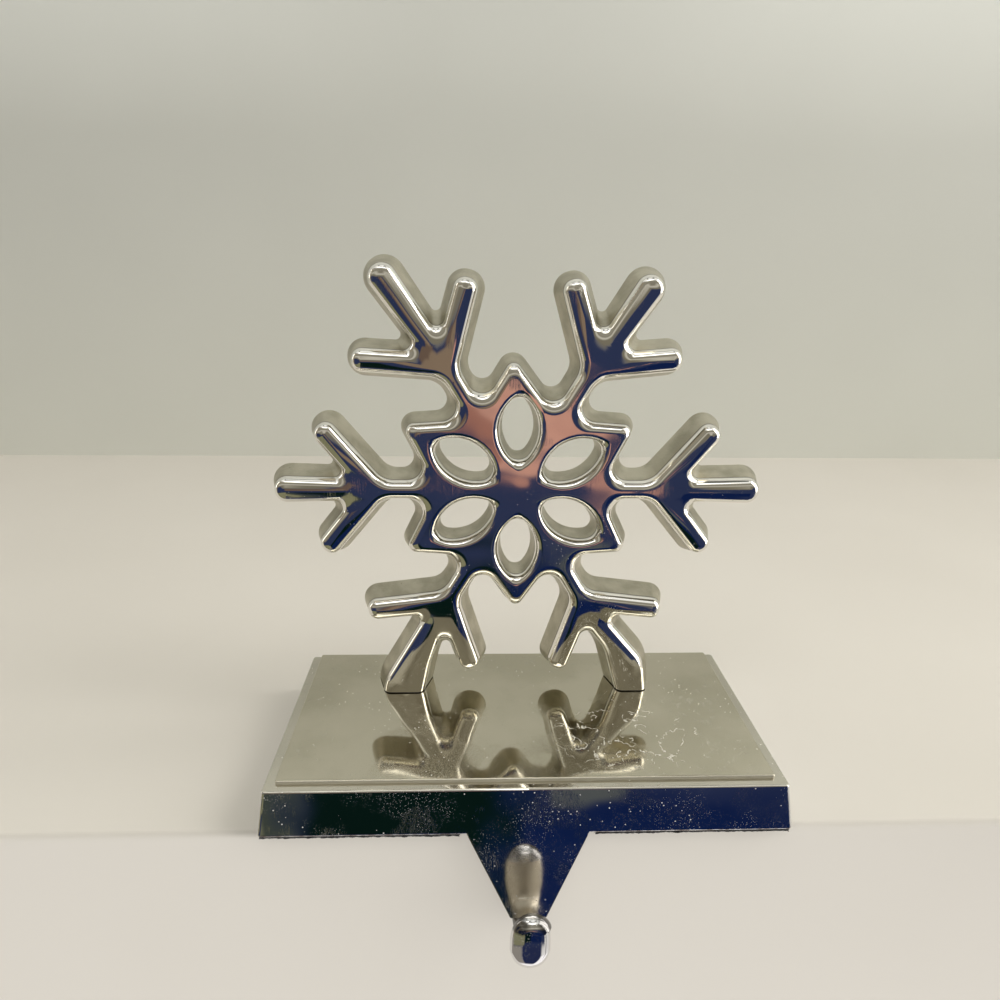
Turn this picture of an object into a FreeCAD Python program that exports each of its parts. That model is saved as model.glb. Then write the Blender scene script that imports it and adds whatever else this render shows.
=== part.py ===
"""Mantel stocking holder: a plated snowflake casting standing on a weighted base with a hook.

Millimetres, Z up, front towards -Y. The origin is the middle of the pad's underside, on the
shelf's top. The tongue hangs below it, over the shelf's front edge, and ends in the hook.
"""
import FreeCAD, Part
import math
import os

from FreeCAD import Vector

# Base slab, walls leaning out towards the bottom
base_width = 127.4
base_depth = 64.0
wall_height = 11.8
wall_flare = 1.6
corner_round = 0.9
top_edge_round = 0.5
bottom_edge_round = 0.7

# Raised upper tier, nearly flush with the slab at the back
tier_height = 0.9
tier_inset = 2.6
tier_back_inset = 0.4
tier_corner_round = 0.6
tier_edge_round = 0.3

# Pad glued under the base
pad_thickness = 0.8
pad_inset = 0.5
pad_corner_round = 1.0
pad_notch_clearance = 1.5
pad_notch_relief = 3.0

# Tongue over the shelf's edge, its face in line with the front wall
tongue_width = 29.2
tongue_root_thickness = 2.6
tongue_drop = 22.2
tongue_edge_round = 0.4
hook_offset = 0.4

# Hook finger: down from the tongue, forwards, and up to a rounded tip
finger_width = 9.1
finger_thickness = 4.8
finger_setback = 0.7
finger_root_height = 5.4
finger_heel_round = 1.2
finger_toe_round = 3.6
finger_narrowing = 2.5
finger_reach = 10.7
finger_rise = 12.1
throat_floor_drop = 0.8

# Snowflake plate
flake_offset = -1.5
flake_centre_height = 59.5
flake_setback = 40.4
flake_thickness = 9.0
front_round_depth = 2.6
front_round_width = 2.2
front_round_steps = 3
side_flare = 1.9
least_round = 0.25
hollow_share = 0.4

# Arms, measured from the plate's centre along and across the arm
arm_reach = 62.8
long_arm_reach = 65.8
right_arm_reach = 63.7
arm_tip_half_width = 3.55
arm_tip_round = 3.4
crotch_reach = 43.3
crotch_half_width = 2.95
crotch_round = 2.05
side_tip_reach = 48.9
side_tip_spread = 14.6
side_tip_half_width = 2.9
side_tip_round = 2.7
side_tip_angle = 52.0
upper_left_prong_extra = 1.3
elbow_reach = 34.9
elbow_round = 6.0
trunk_half_width = 2.45
valley_round = 3.8

# Forks of the slanting arms lean this far, in degrees, towards the level arms
upper_left_fork_lean = 5.5
upper_right_fork_lean = 3.5
leg_fork_lean = 2.5

# Star points between the arms
star_reach = 33.9
star_half_angle = 34.0
star_round = 1.2
top_star_turn = 3.0

# Legs: the two lower arms, drawn out into flat feet. Places are across from the plate's
# middle and up from the base.
left_knee_out = 36.2
left_knee_height = 3.5
left_foot_outside = 37.4
left_foot_inside = 25.8
left_shin_in = 23.2
left_shin_height = 9.0
right_knee_out = 36.9
right_knee_height = 9.0
right_foot_outside = 38.5
right_foot_inside = 29.9
right_shin_in = 25.2
right_shin_height = 13.0
knee_round = 12.0
shin_round = 14.0

# Pointed windows in the hub: the opening behind the rounded rim, and the rim on the face
window_reach = 16.1
window_half_length = 8.05
window_half_width = 5.0
window_end_round = 3.0
rim_half_length = 10.9
rim_half_width = 7.0
rim_end_round = 0.9
window_flare = 1.3

# Fixing screws, driven from below into the feet
screw_diameter = 4.0
screw_head_diameter = 7.6
screw_head_height = 2.6
screw_socket_width = 2.5
screw_socket_depth = 1.4
screw_span = 62.4
screw_engagement = 6.0
counterbore_depth = 3.4
screw_clearance = 0.15
thread_fit = 0.03
hole_spare = 1.0

# How far a cutting or joining body runs past the faces that it meets
overrun = 1.0

base_bottom = pad_thickness
slab_top = base_bottom + wall_height
base_top = slab_top + tier_height
flake_front = flake_setback - base_depth / 2
flake_back = flake_front + flake_thickness
flake_centre_z = base_top + flake_centre_height
foot_middle_y = flake_front + flake_thickness / 2


def line_crossing(a, b, c, d):
    """The point where the line through a and b meets the line through c and d, in a plane."""
    ax, ay = b[0] - a[0], b[1] - a[1]
    cx, cy = d[0] - c[0], d[1] - c[1]
    share = ((c[0] - a[0]) * cy - (c[1] - a[1]) * cx) / (ax * cy - ay * cx)
    return a[0] + share * ax, a[1] + share * ay


def grown(corners, distance):
    """A closed outline of (x, y, round) corners, counterclockwise, grown outwards all round."""
    moved = []
    for i, corner in enumerate(corners):
        before, after = corners[i - 1], corners[(i + 1) % len(corners)]
        sides = []
        for start, end in ((before, corner), (corner, after)):
            dx, dy = end[0] - start[0], end[1] - start[1]
            size = distance / math.hypot(dx, dy)
            sides.append((start[0] + dy * size, start[1] - dx * size))
            sides.append((end[0] + dy * size, end[1] - dx * size))
        x, y = line_crossing(*sides)
        turn = (corner[0] - before[0]) * (after[1] - corner[1])
        turn -= (corner[1] - before[1]) * (after[0] - corner[0])
        rounding = corner[2] + (distance if turn > 0 else -hollow_share * distance)
        moved.append((x, y, max(rounding, least_round)))
    return moved


def rounded_wire(corners, place):
    """A closed wire of straight runs and tangent arcs. place turns (x, y) into a point."""
    ends = []
    for i, (x, y, rounding) in enumerate(corners):
        before, after = corners[i - 1], corners[(i + 1) % len(corners)]
        to_before = math.atan2(before[1] - y, before[0] - x)
        to_after = math.atan2(after[1] - y, after[0] - x)
        half = abs(math.remainder(to_after - to_before, 2 * math.pi)) / 2
        run = rounding / math.tan(half)
        middle = to_before + math.remainder(to_after - to_before, 2 * math.pi) / 2
        bow = rounding / math.sin(half) - rounding
        ends.append((
            place(x + run * math.cos(to_before), y + run * math.sin(to_before)),
            place(x + bow * math.cos(middle), y + bow * math.sin(middle)),
            place(x + run * math.cos(to_after), y + run * math.sin(to_after)),
        ))
    edges = []
    for i, (start, top, end) in enumerate(ends):
        edges.append(Part.Arc(start, top, end).toShape())
        edges.append(Part.LineSegment(end, ends[(i + 1) % len(ends)][0]).toShape())
    return Part.Wire(edges)


def rectangle(half_width, front, back, rounding):
    """Corners of a rectangle, counterclockwise, seen from above."""
    return [
        (-half_width, front, rounding), (half_width, front, rounding),
        (half_width, back, rounding), (-half_width, back, rounding),
    ]


def level(z):
    """Places plan points at height z."""
    return lambda x, y: Vector(x, y, z)


def slab_from(corners, bottom, top):
    """A straight-sided slab with the given plan outline."""
    face = Part.Face(rounded_wire(corners, level(bottom)))
    return face.extrude(Vector(0, 0, top - bottom))


def edges_at(shape, z):
    """The edges that lie wholly at height z."""
    return [e for e in shape.Edges if abs(e.BoundBox.ZMin - z) + abs(e.BoundBox.ZMax - z) < 1e-4]


def screw_places():
    """X of the two fixing screws."""
    return -screw_span / 2, screw_span / 2


def make_slab():
    """The lower tier: leaning walls, softened top and bottom edges."""
    front, back = -base_depth / 2, base_depth / 2
    bottom = rectangle(base_width / 2, front, back, corner_round)
    top = rectangle(base_width / 2 - wall_flare, front + wall_flare, back - wall_flare, corner_round)
    wires = [rounded_wire(bottom, level(base_bottom)), rounded_wire(top, level(slab_top))]
    slab = Part.makeLoft(wires, True, True)
    slab = slab.makeFillet(top_edge_round, edges_at(slab, slab_top))
    return slab.makeFillet(bottom_edge_round, edges_at(slab, base_bottom))


def make_tier():
    """The upper tier, sunk a little into the slab so that the two join."""
    front = -base_depth / 2 + wall_flare + tier_inset
    back = base_depth / 2 - wall_flare - tier_back_inset
    half = base_width / 2 - wall_flare - tier_inset
    tier = slab_from(rectangle(half, front, back, tier_corner_round), slab_top - overrun, base_top)
    return tier.makeFillet(tier_edge_round, edges_at(tier, base_top))


def wall_face_y(z):
    """Y of the front wall's plane at height z, which the tongue's face follows."""
    return -base_depth / 2 + wall_flare * (z - base_bottom) / wall_height


tongue_back = -base_depth / 2 + tongue_root_thickness
shoulder_z = base_bottom - tongue_drop


def make_tongue():
    """A wedge between the front wall's plane and the shelf's edge, narrowing to the finger."""
    top = slab_top - top_edge_round - overrun
    side = Part.makePolygon([
        Vector(0, wall_face_y(top), top), Vector(0, wall_face_y(shoulder_z), shoulder_z),
        Vector(0, tongue_back, shoulder_z), Vector(0, tongue_back, top),
        Vector(0, wall_face_y(top), top),
    ])
    root, tip = tongue_width / 2, finger_width / 2
    wedge = Part.Face(side).extrude(Vector(tongue_width + 2 * overrun, 0, 0))
    wedge.translate(Vector(-root - overrun, 0, 0))
    deep = base_depth
    outline = Part.makePolygon([
        Vector(hook_offset - tip, -deep, shoulder_z), Vector(hook_offset + tip, -deep, shoulder_z),
        Vector(root, -deep, base_bottom), Vector(root, -deep, top),
        Vector(-root, -deep, top), Vector(-root, -deep, base_bottom),
        Vector(hook_offset - tip, -deep, shoulder_z),
    ])
    tongue = wedge.common(Part.Face(outline).extrude(Vector(0, deep, 0)))
    slanted = [e for e in tongue.Edges if is_tongue_side(e)]
    return tongue.makeFillet(tongue_edge_round, slanted)


def is_tongue_side(edge):
    """True for the two long front edges that run from the base's underside to the finger."""
    box = edge.BoundBox
    runs_down = abs(box.ZMin - shoulder_z) < 1e-4 and abs(box.ZMax - base_bottom) < 1e-4
    return runs_down and box.YMax < tongue_back - tongue_root_thickness / 2


def finger_stations():
    """Middle and heading of the finger's sections: 0 is down, 90 is forwards and 180 is up."""
    half = finger_thickness / 2
    root_y = wall_face_y(shoulder_z) + finger_setback + half
    tip_y = wall_face_y(shoulder_z) - finger_reach
    run_z = shoulder_z - throat_floor_drop - half
    heel = finger_heel_round + half
    toe = finger_toe_round + half
    tip_z = shoulder_z + finger_rise - finger_width / 2
    root_z = shoulder_z + finger_root_height
    stations = [(root_y, root_z, 0), (root_y, (root_z + run_z + heel) / 2, 0)]
    bends = ((root_y - heel, heel, range(0, 91, 30)), (tip_y + toe, toe, range(90, 181, 15)))
    for middle_y, rounding, turns in bends:
        for turn in turns:
            c, s = math.cos(math.radians(turn)), math.sin(math.radians(turn))
            stations.append((middle_y + rounding * c, run_z + rounding - rounding * s, turn))
    stations.append((tip_y, (run_z + toe + tip_z) / 2, 180))
    stations.append((tip_y, tip_z, 180))
    return stations


def finger_section(middle_y, middle_z, turn):
    """The finger's round-sided section, narrower where it runs forwards."""
    side = (finger_width - finger_narrowing * math.sin(math.radians(turn))) / 2
    half = finger_thickness / 2
    flat = side - half
    c, s = math.cos(math.radians(turn)), math.sin(math.radians(turn))

    def spot(x, out):
        return Vector(hook_offset + x, middle_y - out * c, middle_z + out * s)

    return Part.Wire([
        Part.LineSegment(spot(-flat, -half), spot(flat, -half)).toShape(),
        Part.Arc(spot(flat, -half), spot(side, 0), spot(flat, half)).toShape(),
        Part.LineSegment(spot(flat, half), spot(-flat, half)).toShape(),
        Part.Arc(spot(-flat, half), spot(-side, 0), spot(-flat, -half)).toShape(),
    ])


def make_finger():
    """The hook finger, lofted along its bent path, with a round tip."""
    stations = finger_stations()
    finger = Part.makeLoft([finger_section(*station) for station in stations], True, False)
    return finger.fuse(make_finger_tip(*stations[-1]))


def make_finger_tip(middle_y, middle_z, turn):
    """The tip: half of the last section turned about the finger's own thickness direction."""
    middle = Vector(hook_offset, middle_y, middle_z)
    half_space = Part.makeBox(finger_width, finger_width, finger_width)
    half_space.translate(middle - Vector(0, finger_width / 2, finger_width / 2))
    half_face = Part.Face(finger_section(middle_y, middle_z, turn)).common(half_space)
    return half_face.revolve(middle, Vector(0, 1, 0), -180)


def make_base():
    """Slab, tier, tongue and finger in one casting, bored from below for the two screws."""
    body = make_slab().fuse([make_tier(), make_tongue(), make_finger()])
    bore = screw_diameter / 2 + screw_clearance
    head = screw_head_diameter / 2 + screw_clearance
    for x in screw_places():
        through = Part.makeCylinder(bore, base_top, Vector(x, foot_middle_y, base_bottom))
        counterbore = Part.makeCylinder(head, counterbore_depth, Vector(x, foot_middle_y, base_bottom))
        body = body.cut(through.fuse(counterbore))
    return body.removeSplitter()


def turned(point, degrees):
    """A plane point or corner, turned about the plate's centre."""
    c, s = math.cos(math.radians(degrees)), math.sin(math.radians(degrees))
    return (point[0] * c - point[1] * s, point[0] * s + point[1] * c) + tuple(point[2:])


def star_corner(turn):
    """The sharp corner of the star point after an arm along X, turned a little off its place."""
    return turned((star_reach, 0.0), 30 + turn)


def arm_flank(lean, star_turn, extra=0):
    """One flank of an arm along X, from its fork back to the valley beside the star point."""
    c, s = math.cos(math.radians(side_tip_angle)), math.sin(math.radians(side_tip_angle))
    along, across = side_tip_half_width + extra, side_tip_half_width
    fork = [
        (crotch_reach, crotch_half_width, crotch_round),
        (side_tip_reach + along * c + across * s, side_tip_spread + along * s - across * c, side_tip_round),
        (side_tip_reach + along * c - across * s, side_tip_spread + along * s + across * c, side_tip_round),
    ]
    star = star_corner(star_turn)
    heading = math.radians(210 + star_turn + star_half_angle)
    towards = (star[0] + math.cos(heading), star[1] + math.sin(heading))
    valley = line_crossing(star, towards, (0, trunk_half_width), (1, trunk_half_width))
    return [leant(corner, lean) for corner in fork] + [
        (elbow_reach, trunk_half_width, elbow_round), (*valley, valley_round)]


def leant(corner, lean):
    """A fork's corner, turned about the elbow of an arm along X."""
    x, y, rounding = turned((corner[0] - elbow_reach, corner[1], corner[2]), lean)
    return x + elbow_reach, y, rounding


def mirrored(corners):
    """The corners of the other flank, in the order that keeps an outline counterclockwise."""
    return [(x, -y, rounding) for x, y, rounding in reversed(corners)]


def arm_tip(reach, lean):
    """The two corners of an arm's blunt tip."""
    tip = [(reach, side * arm_tip_half_width, arm_tip_round) for side in (-1, 1)]
    return [leant(corner, lean) for corner in tip]


def leg_end(left):
    """Corners of a leg below its fork, in the plate's plane."""
    ground = -flake_centre_height
    sole = ground - front_round_width - overrun
    if left:
        return [
            (-left_knee_out, ground + left_knee_height, knee_round),
            (-left_foot_outside, sole, least_round), (-left_foot_inside, sole, least_round),
            (-left_shin_in, ground + left_shin_height, shin_round),
        ]
    return [
        (right_shin_in, ground + right_shin_height, shin_round),
        (right_foot_inside, sole, least_round), (right_foot_outside, sole, least_round),
        (right_knee_out, ground + right_knee_height, knee_round),
    ]


def plate_outline():
    """The plate's outline where the rounded front meets the side wall, counterclockwise."""
    leans = {60: -upper_right_fork_lean, 120: upper_left_fork_lean,
             240: -leg_fork_lean, 300: leg_fork_lean}
    star_turns = {60: top_star_turn}
    reaches = {0: right_arm_reach, 120: long_arm_reach}
    extras = {120: upper_left_prong_extra}
    corners = []
    for angle in range(0, 360, 60):
        lean = leans.get(angle, 0)
        after, before = star_turns.get(angle, 0), star_turns.get(angle - 60, 0)
        if angle in (240, 300):
            end = leg_end(angle == 240)
        else:
            reach = reaches.get(angle, arm_reach)
            end = [turned(corner, angle) for corner in arm_tip(reach, lean)]
        corners += [turned(corner, angle) for corner in mirrored(arm_flank(-lean, -before))]
        corners += end
        corners += [turned(corner, angle) for corner in arm_flank(lean, after, extras.get(angle, 0))]
        corners.append(turned((*star_corner(after), star_round), angle))
    return corners


def upright(y):
    """Places the plate's own plane at depth y."""
    return lambda u, v: Vector(flake_offset + u, y, flake_centre_z + v)


def front_round(share):
    """Depth and inset of the rounded front edge, from the face (0) to the side wall (1)."""
    angle = share * math.pi / 2
    return front_round_depth * (1 - math.cos(angle)), 1 - math.sin(angle)


def oval_wire(half_length, half_width, end_round, angle, y):
    """A pointed window's outline: two long arcs joined by two small end arcs."""
    end = half_length - end_round
    side_round = (end ** 2 + half_width ** 2 - end_round ** 2) / (2 * (half_width - end_round))
    drop = side_round - half_width
    lean = math.atan2(drop, end)
    join = (end + end_round * math.cos(lean), end_round * math.sin(lean))
    place = upright(y)

    def spot(x, z):
        return place(*turned((window_reach + x, z), angle))

    top, bottom = spot(0, half_width), spot(0, -half_width)
    right, left = spot(half_length, 0), spot(-half_length, 0)
    a, b = spot(join[0], join[1]), spot(-join[0], join[1])
    c, d = spot(-join[0], -join[1]), spot(join[0], -join[1])
    arcs = [(a, top, b), (b, left, c), (c, bottom, d), (d, right, a)]
    return Part.Wire([Part.Arc(*arc).toShape() for arc in arcs])


def make_window(angle):
    """The body that cuts one window: a flared rim, then a hole that narrows to the back."""
    wires = []
    for step in range(front_round_steps + 1):
        depth, inset = front_round(step / front_round_steps)
        wires.append(oval_wire(
            window_half_length + inset * (rim_half_length - window_half_length),
            window_half_width + inset * (rim_half_width - window_half_width),
            window_end_round + inset * (rim_end_round - window_end_round),
            angle, flake_front + depth))
    wires.append(oval_wire(
        window_half_length - window_flare, window_half_width - window_flare,
        window_end_round - window_flare, angle, flake_back))
    return Part.makeLoft(wires, True, True)


def make_plate():
    """The plate: rounded front edge by grown outlines, then side walls that flare to the back."""
    outline = plate_outline()
    wires = []
    for step in range(front_round_steps + 1):
        depth, inset = front_round(step / front_round_steps)
        wires.append(rounded_wire(grown(outline, -inset * front_round_width), upright(flake_front + depth)))
    wires.append(rounded_wire(grown(outline, side_flare), upright(flake_back)))
    return Part.makeLoft(wires, True, True)


def make_snowflake():
    """The snowflake casting: plate with six windows, feet cut flat and bored for the screws."""
    plate = make_plate()
    for arm in range(6):
        plate = plate.cut(make_window(60 * arm + 30))
    ground = Part.makeBox(base_width, base_depth, flake_centre_height)
    ground.translate(Vector(-base_width / 2, -base_depth / 2, base_top - flake_centre_height))
    plate = plate.cut(ground)
    depth = screw_engagement + hole_spare
    for x in screw_places():
        bore = screw_diameter / 2 + thread_fit
        plate = plate.cut(Part.makeCylinder(bore, depth, Vector(x, foot_middle_y, base_top)))
    return plate


def make_screws():
    """Two socket screws, heads seated in the counterbores, ends in the feet."""
    seat = base_bottom + counterbore_depth
    length = base_top + screw_engagement - seat
    screws = []
    for x in screw_places():
        shank = Part.makeCylinder(screw_diameter / 2, length, Vector(x, foot_middle_y, seat))
        low = seat - screw_head_height
        head = Part.makeCylinder(screw_head_diameter / 2, screw_head_height, Vector(x, foot_middle_y, low))
        corner = screw_socket_width / math.sqrt(3)
        ring = [
            Vector(x + corner * math.cos(math.radians(60 * n)),
                   foot_middle_y + corner * math.sin(math.radians(60 * n)), low)
            for n in range(7)
        ]
        socket = Part.Face(Part.makePolygon(ring)).extrude(Vector(0, 0, screw_socket_depth))
        screws.append(head.fuse(shank).cut(socket))
    return Part.makeCompound(screws)


def make_pad():
    """The pad, a little inside the base's underside, cut away behind the tongue."""
    corners = rectangle(
        base_width / 2 - pad_inset, pad_inset - base_depth / 2, base_depth / 2 - pad_inset, pad_corner_round)
    pad = slab_from(corners, 0, pad_thickness)
    half = tongue_width / 2 + pad_notch_clearance
    notch = Part.makeBox(2 * half, tongue_back + pad_notch_relief + base_depth / 2, pad_thickness)
    notch.translate(Vector(-half, -base_depth / 2, 0))
    return pad.cut(notch)


os.makedirs("parts", exist_ok=True)
nodes = {
    "base_casting": make_base(),
    "snowflake_casting": make_snowflake(),
    "fixing_screws": make_screws(),
    "felt_pad": make_pad(),
}
for name, shape in nodes.items():
    box = shape.BoundBox
    print(name, "valid", shape.isValid(), "solids", len(shape.Solids), "faces", len(shape.Faces),
          "volume %.0f" % shape.Volume, "x %.1f %.1f y %.1f %.1f z %.1f %.1f" % (
              box.XMin, box.XMax, box.YMin, box.YMax, box.ZMin, box.ZMax))
    shape.exportStep(os.path.join("parts", name + ".step"))
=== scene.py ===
"""Looks of the mantel stocking holder: plated castings, felt pad and screws, in soft light."""
import math
import random

import bmesh
import bpy
from mathutils import Matrix, Vector, noise


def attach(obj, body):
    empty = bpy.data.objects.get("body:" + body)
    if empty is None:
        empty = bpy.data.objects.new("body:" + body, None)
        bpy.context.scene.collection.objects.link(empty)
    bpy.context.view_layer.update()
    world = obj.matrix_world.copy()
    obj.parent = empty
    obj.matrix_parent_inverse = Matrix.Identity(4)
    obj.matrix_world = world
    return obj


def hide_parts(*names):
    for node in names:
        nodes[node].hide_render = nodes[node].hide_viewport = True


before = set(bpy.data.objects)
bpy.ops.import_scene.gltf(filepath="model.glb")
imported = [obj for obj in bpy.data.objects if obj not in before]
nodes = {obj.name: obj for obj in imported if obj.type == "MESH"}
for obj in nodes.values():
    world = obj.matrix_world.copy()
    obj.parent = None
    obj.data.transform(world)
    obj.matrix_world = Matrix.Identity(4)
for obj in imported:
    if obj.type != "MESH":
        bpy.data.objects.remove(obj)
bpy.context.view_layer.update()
random.seed(7)

MM = 0.001

# Sizes of the plate, in millimetres and degrees. Most are those of the part's source, and the
# rounding, the star points and the windows are a little softer here.
FLAKE_X, FLAKE_Z = -1.5, 73.0
FLAKE_FRONT, FLAKE_BACK = 8.4, 17.4
GROUND = -59.5
ROUND_DEPTH, ROUND_WIDTH, SIDE_FLARE = 2.6, 2.3, 1.9
LEAST_ROUND, STAR_INNER_ROUND, HOLLOW_SHARE = 0.25, 1.4, 0.4
ARM_REACH, LONG_ARM_REACH, RIGHT_ARM_REACH = 62.8, 65.8, 63.7
ARM_TIP, ARM_TIP_ROUND = 3.55, 3.4
CROTCH_REACH, CROTCH_HALF, CROTCH_ROUND = 43.3, 2.95, 2.05
SIDE_REACH, SIDE_SPREAD, SIDE_HALF, SIDE_ROUND = 48.9, 14.6, 2.9, 2.7
SIDE_ANGLE, PRONG_EXTRA = 52.0, 1.3
ELBOW_REACH, ELBOW_ROUND, TRUNK_HALF, VALLEY_ROUND = 34.9, 6.0, 2.45, 3.8
STAR_REACH, STAR_HALF_ANGLE, STAR_ROUND, TOP_STAR_TURN = 34.4, 34.0, 2.0, 3.0
FORK_LEANS = {60: -3.5, 120: 5.5, 240: -2.5, 300: 2.5}
WINDOW_REACH = 16.1
WINDOW_HALVES, RIM_HALVES, WINDOW_FLARE = (8.05, 5.0, 3.4), (10.7, 6.95, 1.2), 0.9
CREASE = FLAKE_FRONT + ROUND_DEPTH
BACK_EDGE = 0.3
# The rounded edge is worked out in this many steps, and every so many of them make a row
PROFILE_STEPS, PROFILE_STRIDE, PROFILE_SOFTNESS = 600, 40, 1.45
# The flat front's normals lean outwards by this much, from the first radius to the second
CROWN, CROWN_START, CROWN_FULL = math.radians(15), 38, 50

# Sizes of the base, in millimetres
SLAB_TOP, BASE_TOP = 12.6, 13.5
JOINT_GAP, JOINT_RECESS = 0.28, 0.3
WALL_FOOT, WALL_FLARE = -32.0, 1.6
FINGER_X, FINGER_DRIFT, FINGER_TOP, FINGER_COUNT = 0.4, 0.5, -21.4, 64
FINGER_HALF_WIDTH, FINGER_NARROWING, FINGER_HALF = 4.65, 1.3, 2.4
FINGER_SETBACK, FINGER_REACH, FINGER_DROP, FINGER_RISE = 0.7, 10.7, 0.8, 12.1
FINGER_HEEL, FINGER_TOE, FINGER_ROOT = 1.2, 3.6, 5.4
PAD_HALF, PAD_DEPTH_HALF, PAD_HEIGHT = 63.2, 31.5, 0.8
PAD_NOTCH_HALF, PAD_NOTCH_BACK = 16.1, -26.4
PAD_FIBRES = 2600


# Plate outline

def line_crossing(a, b, c, d):
    """The point where the line through a and b meets the line through c and d."""
    ax, ay = b[0] - a[0], b[1] - a[1]
    cx, cy = d[0] - c[0], d[1] - c[1]
    share = ((c[0] - a[0]) * cy - (c[1] - a[1]) * cx) / (ax * cy - ay * cx)
    return a[0] + share * ax, a[1] + share * ay


def turned(point, degrees):
    """A plane point or corner, turned about the plate's middle."""
    c, s = math.cos(math.radians(degrees)), math.sin(math.radians(degrees))
    return (point[0] * c - point[1] * s, point[0] * s + point[1] * c) + tuple(point[2:])


def blended(a, b, share):
    """Sizes or points part of the way from a to b."""
    if isinstance(a, (tuple, list)):
        return type(a)(blended(p, q, share) for p, q in zip(a, b))
    return a + (b - a) * share


def leant(corner, lean):
    """A fork's corner, turned about the elbow of an arm along X."""
    x, y, rounding = turned((corner[0] - ELBOW_REACH, corner[1], corner[2]), lean)
    return x + ELBOW_REACH, y, rounding


def arm_flank(lean, star_turn, extra=0):
    """One flank of an arm along X, from its fork back to the valley beside the star point."""
    c, s = math.cos(math.radians(SIDE_ANGLE)), math.sin(math.radians(SIDE_ANGLE))
    along, across = SIDE_HALF + extra, SIDE_HALF
    fork = [
        (CROTCH_REACH, CROTCH_HALF, CROTCH_ROUND),
        (SIDE_REACH + along * c + across * s, SIDE_SPREAD + along * s - across * c, SIDE_ROUND),
        (SIDE_REACH + along * c - across * s, SIDE_SPREAD + along * s + across * c, SIDE_ROUND),
    ]
    star = turned((STAR_REACH, 0.0), 30 + star_turn)
    heading = math.radians(210 + star_turn + STAR_HALF_ANGLE)
    towards = (star[0] + math.cos(heading), star[1] + math.sin(heading))
    valley = line_crossing(star, towards, (0, TRUNK_HALF), (1, TRUNK_HALF))
    return [leant(corner, lean) for corner in fork] + [
        (ELBOW_REACH, TRUNK_HALF, ELBOW_ROUND), (*valley, VALLEY_ROUND)]


def mirrored(corners):
    """The corners of the other flank, in counterclockwise order."""
    return [(x, -y, rounding) for x, y, rounding in reversed(corners)]


def leg_end(left):
    """Corners of a leg below its fork, down to below the base's top."""
    sole = GROUND - ROUND_WIDTH - 1
    if left:
        return [(-36.2, GROUND + 3.5, 12), (-37.4, sole, LEAST_ROUND),
                (-25.8, sole, LEAST_ROUND), (-23.2, GROUND + 9, 14)]
    return [(25.2, GROUND + 13, 14), (29.9, sole, LEAST_ROUND),
            (38.5, sole, LEAST_ROUND), (36.9, GROUND + 9, 12)]


def plate_outline():
    """The outline where the rounded front meets the side wall, counterclockwise."""
    star_turns = {60: TOP_STAR_TURN}
    reaches, extras = {0: RIGHT_ARM_REACH, 120: LONG_ARM_REACH}, {120: PRONG_EXTRA}
    corners = []
    for angle in range(0, 360, 60):
        lean = FORK_LEANS.get(angle, 0)
        after, before = star_turns.get(angle, 0), star_turns.get(angle - 60, 0)
        if angle in (240, 300):
            end = leg_end(angle == 240)
        else:
            reach = reaches.get(angle, ARM_REACH)
            tip = [(reach, side * ARM_TIP, ARM_TIP_ROUND) for side in (-1, 1)]
            end = [turned(leant(corner, lean), angle) for corner in tip]
        corners += [turned(corner, angle) for corner in mirrored(arm_flank(-lean, -before))]
        corners += end
        flank = arm_flank(lean, after, extras.get(angle, 0))
        corners += [turned(corner, angle) for corner in flank]
        corners.append(turned((STAR_REACH, 0.0, STAR_ROUND), angle + 30 + after))
    return corners


def grown(corners, distance):
    """The outline moved outwards all round. Hollow corners lose less than in a plain offset."""
    moved = []
    for i, corner in enumerate(corners):
        before, after = corners[i - 1], corners[(i + 1) % len(corners)]
        sides = []
        for start, end in ((before, corner), (corner, after)):
            dx, dy = end[0] - start[0], end[1] - start[1]
            size = distance / math.hypot(dx, dy)
            sides.append((start[0] + dy * size, start[1] - dx * size))
            sides.append((end[0] + dy * size, end[1] - dx * size))
        turn = (corner[0] - before[0]) * (after[1] - corner[1])
        turn -= (corner[1] - before[1]) * (after[0] - corner[0])
        rounding = corner[2] + (distance if turn > 0 else -HOLLOW_SHARE * distance)
        if corner[2] == STAR_ROUND and distance < 0:
            rounding = blended(STAR_ROUND, STAR_INNER_ROUND, -distance / ROUND_WIDTH)
        moved.append((*line_crossing(*sides), max(rounding, LEAST_ROUND)))
    return moved


def along_corners(corners, samples=11):
    """Points and outward directions along a rounded outline, the same number at every size."""
    points = []
    for i, (x, y, rounding) in enumerate(corners):
        before, after = corners[i - 1], corners[(i + 1) % len(corners)]
        back = math.atan2(before[1] - y, before[0] - x)
        turn = math.remainder(math.atan2(after[1] - y, after[0] - x) - back, 2 * math.pi)
        side = 1 if turn < 0 else -1
        sweep = math.pi - abs(turn)
        far = rounding / math.sin(abs(turn) / 2)
        middle = back + turn / 2
        cx, cy = x + far * math.cos(middle), y + far * math.sin(middle)
        for k in range(samples):
            a = middle + math.pi + side * sweep * (k / (samples - 1) - 0.5)
            c, s = math.cos(a), math.sin(a)
            points.append((cx + rounding * c, cy + rounding * s, side * c, side * s))
    return points


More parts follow.
